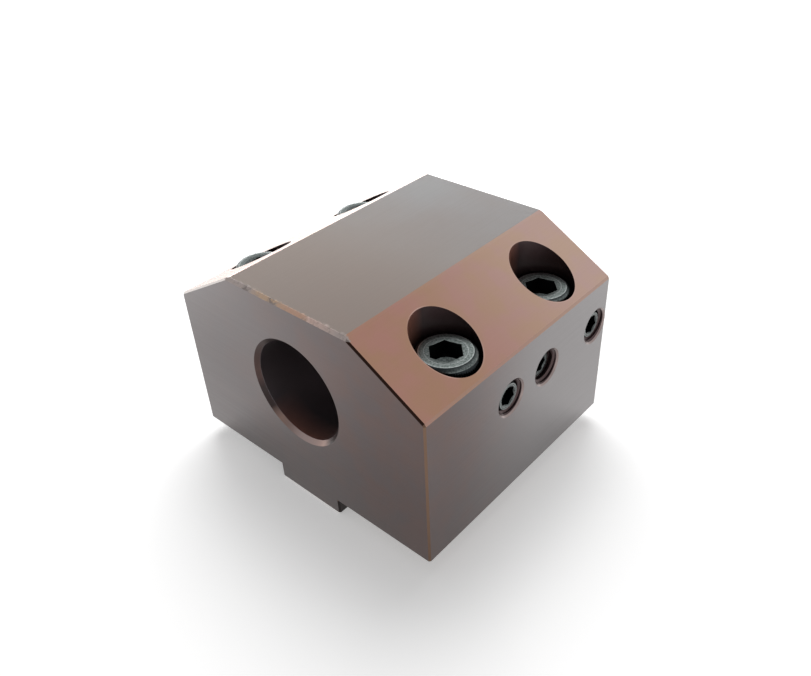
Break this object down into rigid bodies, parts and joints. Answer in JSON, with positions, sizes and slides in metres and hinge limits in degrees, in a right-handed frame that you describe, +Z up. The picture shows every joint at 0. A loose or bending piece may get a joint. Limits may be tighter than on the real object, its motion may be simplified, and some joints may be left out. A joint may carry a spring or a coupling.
{
  "type": "axial tool holder block",
  "caption": "Steel block that bolts to a lathe turret on a key and holds a round tool shank in a through bore with side set screws.",
  "frame": {"origin": "middle of the underside of the key, which is the bottom centre of the whole block", "axes": "+X across the tool bore towards the side with the set screws, +Y along the bore from its front mouth to the rear, +Z up from the turret face"},
  "size_m": [0.09, 0.08, 0.065],
  "materials": {
    "holder_steel": "ground and browned, satin",
    "screw_steel": "black oxide, satin"
  },
  "bodies": {
    "holder": {"holder_body": "holder_steel", "mounting_screw_front_left": "screw_steel", "mounting_screw_front_right": "screw_steel", "mounting_screw_rear_left": "screw_steel", "mounting_screw_rear_right": "screw_steel"},
    "clamp_front": {"clamp_screw_front": "screw_steel"},
    "clamp_middle": {"clamp_screw_middle": "screw_steel"},
    "clamp_rear": {"clamp_screw_rear": "screw_steel"}
  },
  "joints": [
    {"name": "clamp_front_travel", "type": "slide", "parent": "holder", "child": "clamp_front", "axis": [-1, 0, 0], "range_m": [-0.0105, 0.006]},
    {"name": "clamp_middle_travel", "type": "slide", "parent": "holder", "child": "clamp_middle", "axis": [-1, 0, 0], "range_m": [-0.0105, 0.0045]},
    {"name": "clamp_rear_travel", "type": "slide", "parent": "holder", "child": "clamp_rear", "axis": [-1, 0, 0], "range_m": [-0.0105, 0.006]}
  ]
}
